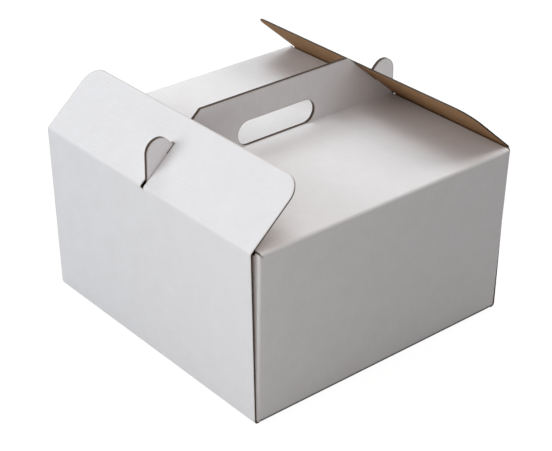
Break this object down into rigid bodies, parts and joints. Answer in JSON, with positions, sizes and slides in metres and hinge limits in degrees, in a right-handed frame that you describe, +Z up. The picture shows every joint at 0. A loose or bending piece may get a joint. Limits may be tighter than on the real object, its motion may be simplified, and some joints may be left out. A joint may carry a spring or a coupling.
{
  "type": "cake box",
  "caption": "Square corrugated cake carrier with a carrying handle, a hand hole and sloping end flaps that lock on ears of the handle.",
  "frame": {"origin": "centre of the base's underside", "axes": "+X along the handle, +Y from the front wall to the back wall, +Z up"},
  "size_m": [0.2894, 0.2982, 0.216],
  "materials": {
    "carton_board": "matt white outer liner, natural brown inner liner and cut edges",
    "flap_board": "matt white outer liner, natural brown inner liner and cut edges"
  },
  "bodies": {
    "carton": {"carton": "carton_board"},
    "left_flap": {"left_lock_flap": "flap_board"},
    "right_flap": {"right_lock_flap": "flap_board"}
  },
  "joints": [
    {"name": "left_flap_fold", "type": "hinge", "parent": "carton", "child": "left_flap", "pos_m": [-0.14399, 0, 0.1632], "axis": [0, -1, 0], "range_deg": [0, 135]},
    {"name": "right_flap_fold", "type": "hinge", "parent": "carton", "child": "right_flap", "pos_m": [0.14399, 0, 0.1632], "axis": [0, 1, 0], "range_deg": [0, 135]}
  ]
}
